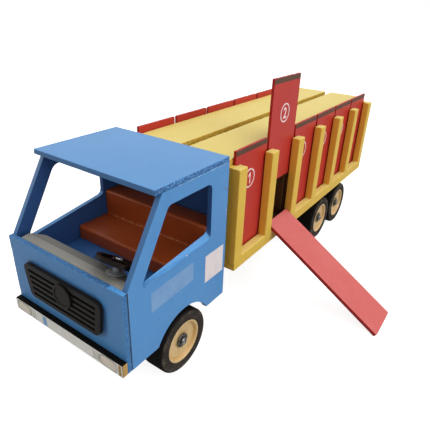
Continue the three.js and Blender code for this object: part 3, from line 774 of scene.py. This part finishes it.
# The bead's pale colour is a painted highlight.
board("roof_bead_left", ((FACE_X - 0.3, 82, 245.2), (FACE_X + 0.35, 166, 245.8)), [WHITE_BEAD], thin=0, radius=0.25,
      steps=(1, 1.5, 1), nick=0.6, chip_scale=5.0, slot="blue_paint")
FLECKS = [(94.3, 159.5, 1.0), (168.1, 186.4, 0.8), (168.7, 179.7, 0.6), (147.6, 169.8, 0.5), (84.0, 117.0, 0.5)]
DABS = [(f"paint_fleck_{k + 1}", y, z, [(r, -0.2), (0.8 * r, 0.12), (0, 0.25)], MARKING, 9, "blue_paint")
        for k, (y, z, r) in enumerate(FLECKS)]
DABS += [("nail_hollow", 165.1, 215.2, [(1.3, -0.2), (1.3, 0.04), (0, 0.04)], SEAM, 20, "steel"),
         ("nail_head", 165.4, 215.6, [(0.6, -0.2), (0.5, 0.15), (0, 0.2)], MARKING, 16, "steel")]
for name, y, z, profile, material, segments, slot in DABS:
    turned(name, [(0, -0.2), *profile], (FACE_X, y, z), (1, 0, 0), [material], segments, slot=slot)

# %% [markdown]
# ## Labels
# Two blank labels are stuck on the left side: a white paper one by the rear edge, and a milky film strip over the
# wheel arch, put on a little askew. They are thin boards a tenth of a millimetre proud of the paint.

# %% Labels
board("paper_label", ((FACE_X - 0.3, 129, 103.5), (FACE_X + 0.15, 165.5, 140.7)), [PAPER], thin=0, radius=0.06,
      steps=(1, 6, 6), nick=0, slot="blue_paint")
board("film_label", ((FACE_X - 0.3, 37, 119), (FACE_X + 0.1, 106, 143)), [FILM], thin=0, radius=0.05,
      steps=(1, 6, 6), nick=0, slot="blue_paint", shape=lambda p: p + (p[:, 1:2] - 37) * [0, 0, 0.036])

# %% [markdown]
# ## Bumper
# The bumper is a black-painted strip of wood whose ends were sawn after painting, so they are raw. Its face
# carries a printed strip: a lamp with a rounded outline at each end, a small square lamp beside it, and between
# them a blank number plate with a blue strip at its left. The outlines are superellipses:
# x = a * |cos t| to the power 2/p, z = b * |sin t| to the power 2/p, each with its sign.

# %% Bumper and its printed strip
board("bumper_bar", "bumper", [BLACK, RAW_WOOD], thin=1, steps=(6, 3, 4), chips=0.4, rough={"+x": 0.3, "-x": 0.3},
      coats=lambda centres, sides: sides < 2, slot="black_paint")
face_y = span("bumper")[0][1]
PRINT = [  # name, x from and to, z from and to, material, how far proud
    ("printed_strip", -89.4, 89.4, 65.4, 80.6, STRIP, 0.12),
    ("lamp_print_right", -84.5, -62.5, 66.4, 79.6, LAMP_PRINT, 0.16),
    ("lamp_print_left", 57.5, 80.5, 66.4, 79.6, LAMP_PRINT, 0.16),
    ("divider_right", -52.4, -51.9, 66.0, 80.0, LINE_PRINT, 0.16),
    ("divider_left", 46.7, 47.2, 66.0, 80.0, LINE_PRINT, 0.16),
    ("plate_blue", -38.4, -31.4, 66.6, 79.0, BLUE_PRINT, 0.16),
    ("strip_gold", 84.2, 88.0, 65.6, 80.4, RAW_WOOD, 0.15),
]
for name, x0, x1, z0, z1, material, proud in PRINT:
    board(name, ((x0, face_y - proud, z0), (x1, face_y + 0.2, z1)), [material], thin=1, radius=0.04, steps=(8, 1, 8),
          nick=0, slot="black_paint")


def outline(name, x, half, power, width=0.4, z=73.0):
    """A flat printed line round the superellipse with half sizes `half`: at each angle t four points, outer and
    inner, front and back."""
    t = np.linspace(0, 2 * np.pi, 64, endpoint=False)
    turn = np.stack([np.cos(t), np.sin(t)], axis=1)
    turn = np.sign(turn) * np.abs(turn) ** (2 / power)
    rows = [np.insert((x, z) + turn * (np.array(half) - inward), 1, face_y + depth, axis=1)
            for inward, depth in ((0, -0.01), (0, -0.20), (width, -0.20), (width, -0.01))]
    index = np.arange(4 * len(t)).reshape(4, -1)
    finish_piece(name, np.concatenate(rows), [strips(index, np.roll(index, -1, axis=0))], [LINE_PRINT], smooth=False,
                 slot="black_paint")


for name, x_right, x_left, half_right, half_left, power in (
        ("lamp_line", -73.5, 69.0, (11.5, 6.8), (11.8, 6.8), 3.4),
        ("lamp_second_line", -73.5, 69.0, (13.4, 7.2), (13.8, 7.2), 3.4),
        ("side_lamp", -58.0, 52.5, (4.0, 4.6), (4.0, 4.6), 7.0),
        ("side_lamp_eye", -58.0, 52.5, (2.3, 2.3), (2.3, 2.3), 2.0)):
    outline(f"{name}_right", x_right, half_right, power)
    outline(f"{name}_left", x_left, half_left, power)

# %% [markdown]
# ## Grille and badge
# The grille is one black moulding with rounded corners and five long slots. Behind them lies unlit black, so
# they read as deep. The badge is a turned disc with a raised rim, and its face is left bare.

# %% Grille and badge
eased("grille_plate", "grille", [GRILLE_BLACK], width=0.9, segments=3, slot="black_plastic")
low, high = span("grille")
board("slot_floor", ((-54, high[1] - 0.8, low[2] + 3), (54, high[1] - 0.2, high[2] - 3)), [SLOT_BLACK], thin=1,
      radius=0.1, slot="black_plastic")
low, high = span("badge")
radius, depth = (high[2] - low[2]) / 2, high[1] - low[1]
middle = ((low[0] + high[0]) / 2, high[1], (low[2] + high[2]) / 2)
rim = np.concatenate([[(radius - 2.8, 0), (radius, 0)], arc(radius - 0.8, depth - 0.8, 0.8, 0, 90),
                      arc(radius - 2.0, depth - 0.8, 0.8, 90, 180)])
turned("badge_rim", rim, middle, (0, -1, 0), [GRILLE_BLACK], slot="black_plastic", stands_for=["badge"])
r = np.linspace(radius - 2.7, 0, 12)
dome = np.stack([r, depth - 0.9 + 0.3 * np.cos(r / radius * np.pi / 2)], axis=1)
turned("badge_face", [(0, 0.1), (radius - 2.7, 0.1), *dome], middle, (0, -1, 0), [BADGE_BROWN],
       slot="black_plastic")

# %% [markdown]
# ## Dashboard, steering wheel and seat
# The dashboard is a grey bar, whose rear-facing bevel takes the darker edge colour as painted shade. The
# steering wheel is a moulded ring on a silver column, with a small bright cap that catches the light at its hub.
# The bench seat is one block: its long edges were planed round and are rubbed pale, made paler still as a painted
# highlight, and a thin bead of paint stands in the crease between seat and back, with pale strips on it that are
# painted highlights.

# %% Dashboard and steering
# The rear-facing bevel takes the darker edge colour: a painted shade, where the roof and seat back keep the light
# off.
eased("dashboard_bar", "dashboard", [GREY], ragged=0.3, slot="grey_paint",
      cut=lambda centres, normals: normals[:, 1] > 0.15)
eased("steering_ring", "steering_wheel", [WHEEL_BLACK], width=1.7, segments=4, slot="black_plastic")
eased("steering_post", "steering_column", [SILVER], width=0.3, slot="steel")
middle = sum(span("steering_wheel")) / 2
lean = math.atan2(4, 13) + 0.286  # the column leans 4 in 13, square to the dashboard, and the wheel leans further
axis = np.array([0, math.sin(lean), math.cos(lean)])
turned("steering_dish", [(0, -2.6), (14, -2.6), (19, -1.0), (19, -0.4), (14, -1.6), (0, -1.6)], middle, axis,
       [WHEEL_BLACK], segments=64, slot="black_plastic")
hub = middle + axis * 2.3  # on the wheel's upper face: it is 4.6 mm thick
turned("hub_boss", [(0, -3), (6.2, -3), *arc(5.4, 0.2, 0.8, 0, 90), (0, 1.0)], hub, axis, [WHEEL_BLACK], segments=40,
       slot="black_plastic")
# A groove 0.9 mm deep and 1 mm wide runs across the cap's dome.
turned("hub_cap", [(0, 0.5), (3.4, 0.5), *arc(0, -2.6, 5.4, 51, 90, 8)], hub, axis, [BRIGHT], segments=40,
       slot="steel", relief=lambda r, h, t: -0.9 * np.clip(1 - np.abs(r * np.sin(t)) / 0.5, 0, 1) * (h > 1.2))
print("steering wheel leans", round(math.degrees(lean), 1), "degrees")

# %% Bench seat
eased("seat_block", "bench_seat", [BROWN], width=1.8, segments=4, ragged=0.2, slot="brown_paint")
low, high = span("bench_seat")
board("seat_crease", ((low[0] + 0.5, 136.3, 139.7), (high[0] - 0.5, 137.2, 140.6)), [BROWN], thin=0, radius=0.4,
      steps=(3, 1, 1), chips=0.3, rough={"-y": 1.0, "+z": 1.0}, slot="brown_paint")
# Three pale strips on the bead are painted highlights.
for k, (x0, x1) in enumerate(((-71, -60), (-41, -32), (52, 80))):
    board(f"crease_rub_{k + 1}", ((x0, 135.9, 140.3), (x1, 136.6, 140.85)), [CREASE_HIGHLIGHT], thin=0, radius=0.2,
          steps=(1, 1, 1), nick=0.5, chip_scale=2.0, slot="brown_paint")

# %% [markdown]
# ## Load body
# Yellow boards make the load body: a floor, a comb of seven posts on each side, cross walls, and two roof boards
# with a gap between them. The posts' tops, the sills and the whole roof boards take a paler yellow, painted light
# for faces that look up. The faces across the grain take the edge colour, an orange that is partly painted light
# bounced from the red gates, the roof boards' long edges are rough, and their ends show the layers of the ply.
# Inside the stalls the boards take a dark brown as painted shade. The joints of the end walls with the posts
# were filled and painted over, and a filled corner brings the wall up to the top of the post.


# %% Load body boards
def across(centres, normals):
    """How much of the edge colour a face takes: 0.8 where it looks along the truck, else none. On yellow that colour
    is partly painted light bounced from the red gates.
    """
    return 0.8 * (np.abs(normals[:, 1]) > 0.7)


# Faces of the combs that look up take the paler yellow, painted light.
for side in SIDES:
    eased(f"post_comb_{side}", f"side_frame_{side}", [YELLOW, TOP_LIT_YELLOW], width=0.9, ragged=0.6, step=2.5,
          cut=across, rough=lambda centres, normals: 0.25 * (normals[:, 2] > 0.7), slot="yellow_paint",
          coats=lambda centres, normals: normals[:, 2] > 0.7)
# Faces inside the stalls, on the floor and the walls, take the dark brown painted shade.
eased("load_floor", "cargo_floor", [YELLOW, STALL_SHADE_BROWN], width=0.15, cut=across,
      rough=lambda centres, normals: 0.5 * across(centres, normals), slot="yellow_paint",
      coats=lambda centres, normals: (normals[:, 2] > 0.9) & (np.abs(centres[:, 0]) < 82))
for wall, outside in [("front_wall", -1), ("rear_wall", 1)] + [(f"partition_{i}", 0) for i in range(1, 6)]:
    eased(f"{wall}_board", wall, [YELLOW, STALL_SHADE_BROWN], width=0.4, slot="yellow_paint",
          coats=lambda centres, normals: normals[:, 1] * outside <= 0.7)
POST_INNER, FRONT_Y, WALL_TOP = span("front_wall")[1][0], span("front_wall")[0][1], span("front_wall")[1][2]
REAR_Y, POST_TOP, ROOF_HALF = span("rear_wall")[1][1], span("side_frame_left")[1][2], span("roof_board_left")[1][0]
for side, sign in SIDES.items():
    for end, y, inward in (("front", FRONT_Y, 1), ("rear", REAR_Y, -1)):
        for name, x, depth, z0, z1 in (("joint", POST_INNER - 1.3, 1.5, 105, WALL_TOP - 0.2),
                                       ("corner", ROOF_HALF + 0.5, 10.8, WALL_TOP - 1, POST_TOP - 0.05)):
            board(f"{end}_{name}_filler_{side}",
                  ((sign * x, y + 0.06 * inward, z0), (sign * (POST_INNER + 1.6), y + depth * inward, z1)), [YELLOW],
                  radius=0.3, steps=(2, 2, 6), slot="yellow_paint")
    low, high = span(f"side_frame_{side}")
    outer = (high if sign > 0 else low)[0]
    board(f"sill_joint_filler_{side}", ((outer - 1.5 * sign, low[1] + 1, low[2] - 1.0),
                                        (outer - 0.06 * sign, high[1] - 1, low[2] + 1.1)), [YELLOW], thin=0,
          radius=0.3, steps=(2, 6, 2), slot="yellow_paint")
for side in SIDES:
    board(f"load_roof_{side}", f"roof_board_{side}", [TOP_LIT_YELLOW], radius=0.7, steps=(6, 6, 3), chips=0.5,
          rough={"-x": 0.8, "+x": 0.8, "-y": 0.2, "+y": 0.2}, ply=("-y", "+y"), slot="yellow_paint")
print("load body from", round(FRONT_Y, 1), "to", round(REAR_Y, 1), "posts up to", round(POST_TOP, 1))

# %% [markdown]
# ## Gates
# Each gate is a thin red board with a dark band along the top of its outer face. On that face a number stands in
# a painted ring. The digit is a text turned into a mesh, except that the 1 is drawn with a longer flag. It is
# scaled by its own box, and only then carried to the gate, and the ring is a turned band. Both are a tenth of a
# millimetre thick, as brushed paint is.

# %% The digits
ONE = [(0.02, -0.5), (0.17, -0.5), (0.17, 0.5), (0.04, 0.5), (-0.24, 0.24), (-0.15, 0.12), (0.02, 0.27)]


def drawn_one(height):
    """The digit 1 as its painter wrote it, a bar with a flag: the outline ONE, a unit high, as a flat prism."""
    flat = np.array(ONE) * height
    points = np.concatenate([np.column_stack([flat, np.full(len(flat), z)]) for z in (-0.06, 0.06)])
    index = np.arange(len(flat))
    ahead = np.roll(index, -1)
    sides = np.stack([index, ahead, ahead + len(flat), index + len(flat)], axis=1)
    return points, [index[::-1][None], index[None] + len(flat), sides]


def digit_mesh(text, height):
    """A flat digit from Blender's built-in font, centred and 0.12 mm thick, as points and faces."""
    curve = bpy.data.curves.new("digit", "FONT")
    curve.body, curve.extrude, curve.offset = text, 0.01, 0.018
    holder = bpy.data.objects.new("digit", curve)
    bpy.context.collection.objects.link(holder)
    mesh = bpy.data.meshes.new_from_object(holder.evaluated_get(bpy.context.evaluated_depsgraph_get()))
    bpy.data.objects.remove(holder)
    work = bmesh.new()
    work.from_mesh(mesh)
    bmesh.ops.remove_doubles(work, verts=work.verts, dist=1e-4)
    bmesh.ops.dissolve_degenerate(work, edges=work.edges, dist=1e-4)
    work.to_mesh(mesh)
    work.free()
    points = column(mesh.vertices, "co", 3)
    middle, size = (points.min(axis=0) + points.max(axis=0)) / 2, np.ptp(points, axis=0)
    points = (points - middle) / [size[1], size[1], size[2]] * [height, height, 0.12]
    return points, [np.array([list(face.vertices)]) for face in mesh.polygons]


# %% Gates and their numbers
BAND_HEIGHT, NUMBER_UP, NUMBER_HEIGHT, RING_IN, RING_OUT = 7.0, 95.7, 15.0, 11.0, 13.1
RING = [(RING_IN, -0.1), (RING_OUT, -0.1), (RING_OUT, 0.12), (RING_IN, 0.12)]
HAND_SET = {1: (-3, 4), 2: (0, 0), 3: (-4, 2), 4: (0, 0), 5: (2, -1), 6: (-1, 1)}  # mm each number strays in y and z
for side, sign in SIDES.items():
    for bay in range(1, 7):
        gate = f"gate_{side}_{bay}"
        low, high = span(gate)
        way, face_x = ("+x", high[0]) if sign > 0 else ("-x", low[0])
        band_z = high[2] - BAND_HEIGHT
        about = {"body": gate, "slot": "red_paint"}
        board(f"{gate}_board", gate, [RED, BAND], thin=0, radius=0.5, steps=(2, 6, 6), chips=0.5, rough={"+z": 0.3},
              extra=((), (), (band_z,)), coats=lambda centres, sides: (centres[:, 2] > band_z) & (sides == WAYS[way]),
              **about)
        stray_y, stray_z = HAND_SET[bay]
        middle = np.array([face_x, (low[1] + high[1]) / 2 + stray_y, low[2] + NUMBER_UP + stray_z])
        turned(f"{gate}_ring", RING, middle, (sign, 0, 0), [MARKING], segments=64, **about)
        points, faces = drawn_one(NUMBER_HEIGHT) if bay == 1 else digit_mesh(str(bay), NUMBER_HEIGHT)
        placed = middle + np.stack([sign * (points[:, 2] + 0.03), sign * points[:, 0], points[:, 1]], axis=1)
        finish_piece(f"{gate}_number", placed, faces, [MARKING], smooth=False, **about)
print("gate_left_2 stands", round(span("gate_left_2")[0][2] - span("gate_left_3")[0][2], 1), "mm up")

# %% [markdown]
# ## Ramp
# The ramp is a loose board that leans on the sill of the open stall. It is drawn flat, its foot corners are
# rounded by 3 mm, and then it is tipped: x' = x cos a + z sin a, z' = -x sin a + z cos a.

# %% Ramp
FOOT_X, TOP_X, HALF, THICK, CORNER, SLOPE = 265.5, 84.0, 30.0, 5.5, 3.0, math.atan2(107.8, 171.0)
low, high = span("ramp")
ramp_middle = (low[1] + high[1]) / 2
ramp_length = (FOOT_X - TOP_X) / math.cos(SLOPE)


def tipped(points):
    """Rounds the foot's corners (q moves to c + corner * (q - c) / |q - c| past the corner circle) and tips."""
    core = np.clip(points[:, :2], [-2 * ramp_length, CORNER - HALF], [-CORNER, HALF - CORNER])
    away = points[:, :2] - core
    length = np.maximum(np.linalg.norm(away, axis=1, keepdims=True), 1e-9)
    x, y = (core + away * np.minimum(1, CORNER / length)).T
    c, s = math.cos(SLOPE), math.sin(SLOPE)
    return np.stack([FOOT_X + x * c + points[:, 2] * s, ramp_middle + y, -x * s + points[:, 2] * c], axis=1)


# The extra lines are for the foot's corners.
board("ramp_board", ((-ramp_length, -HALF, 0), (0, HALF, THICK)), [RAMP_SHEEN_RED], radius=0.5, steps=(6, 6, 2), chips=0.3,
      extra=([-2.4, -1.6, -0.9], [-29.1, -28.4, -27.6, 27.6, 28.4, 29.1], ()), rough={"+x": 0.2}, shape=tipped,
      body="ramp", slot="red_paint", stands_for=["ramp"])
print("ramp length", round(ramp_length, 1), "slope", round(math.degrees(SLOPE), 1), "degrees")

# %% [markdown]
# ## Running gear
# Under the truck a black-painted board carries three fixed axles in blocks. A wheel is a turned disc pressed into
# a rubber tyre with bulging side walls. A washer and a round-headed screw with a cross slot hold it on.

# %% Chassis
for name in ("chassis_board", "cab_riser", "front_axle_block", "rear_axle_block"):
    eased(f"{name}_wood", name, [BLACK], ragged=0.3, slot="black_paint")

# %% Profiles of the turned parts
(INNER, _, tyre_low), (OUTER, _, tyre_high) = span("tyre_front_left")
(DISC_IN, _, disc_low), (DISC_OUT, _, disc_high) = span("wheel_front_left")
R, DISC_R, BORE_R = (tyre_high - tyre_low) / 2, (disc_high - disc_low) / 2, 3.4
DISH, AXLE_END = OUTER - 5.0, span("front_axle")[1][0]
WASHER_X, HEAD_X = DISH + 0.3, DISH + 1.9
tyre_profile = [
    (DISC_R + 0.2, INNER + 0.4), (DISC_R + 2, INNER), (R - 6, INNER), *arc(R - 4.5, INNER + 4.6, 4.5, -75, 0),
    (R, INNER + 10), (R, OUTER - 10), *arc(R - 4.5, OUTER - 4.6, 4.5, 0, 75),
    (R - 6, OUTER - 0.15), (R - 9, OUTER), (DISC_R + 1.5, OUTER - 0.1), (DISC_R + 0.2, OUTER - 0.7)]
disc_profile = [
    (BORE_R, DISC_IN), (DISC_R - 0.5, DISC_IN), (DISC_R, DISC_IN + 0.5),
    *arc(DISC_R - 0.4, DISC_OUT - 0.4, 0.4, 0, 90), *arc(DISC_R - 2.0, DISC_OUT - 0.5, 0.5, 90, 150),
    *arc(DISC_R - 5.4, DISH + 0.6, 0.6, -30, -90), (DISC_R - 12, DISH + 0.1), (BORE_R, DISH)]
half_axle = np.array([(3, WASHER_X), (8.8, WASHER_X), (9, WASHER_X + 0.3), *arc(8.6, HEAD_X - 0.4, 0.4, 0, 90),
                      (0, HEAD_X)])
axle_profile = [*(half_axle[::-1] * [1, -1]), *half_axle]
r = np.linspace(4.9, 0, 20)
screw_profile = [(0, HEAD_X - 0.3), (5, HEAD_X - 0.3), (5, AXLE_END - 1.7), *zip(r, AXLE_END - 1.5 * (r / 5) ** 2)]


def cross_slot(r, h, t):
    """The screw slots: within 0.55 mm of either cross line and 3 mm of the axis the head sinks by up to 1.2 mm."""
    line = np.minimum(np.abs(r * np.cos(t)), np.abs(r * np.sin(t)))
    return -1.2 * np.clip(1.6 - line / 0.4, 0, 1) * np.clip((3.0 - r) / 0.4, 0, 1) * (h > HEAD_X + 1)


# %% Wheels and axles
for axle in ("front", "middle", "rear"):
    centre = sum(span(f"{axle}_axle")) / 2 * [0, 1, 1]
    turned(f"{axle}_axle_rod", axle_profile, centre, (1, 0, 0), [ZINC], segments=80, slot="steel",
           stands_for=[f"{axle}_axle"])
    for side, sign in SIDES.items():
        about = {"body": f"{axle}_{side}_wheel", "segments": 128}
        turned(f"tyre_{axle}_{side}_ring", tyre_profile, centre, (sign, 0, 0), [RUBBER], slot="tyre_rubber",
               stands_for=[f"tyre_{axle}_{side}"], **about)
        turned(f"disc_{axle}_{side}", disc_profile, centre, (sign, 0, 0), [BEECH], slot="varnished_wood",
               stands_for=[f"wheel_{axle}_{side}"], **about)
        turned(f"{axle}_screw_{side}", screw_profile, centre, (sign, 0, 0), [SCREW], segments=80, slot="steel",
               relief=cross_slot)
print("tyre radius", round(R, 1), "disc radius", round(DISC_R, 1))
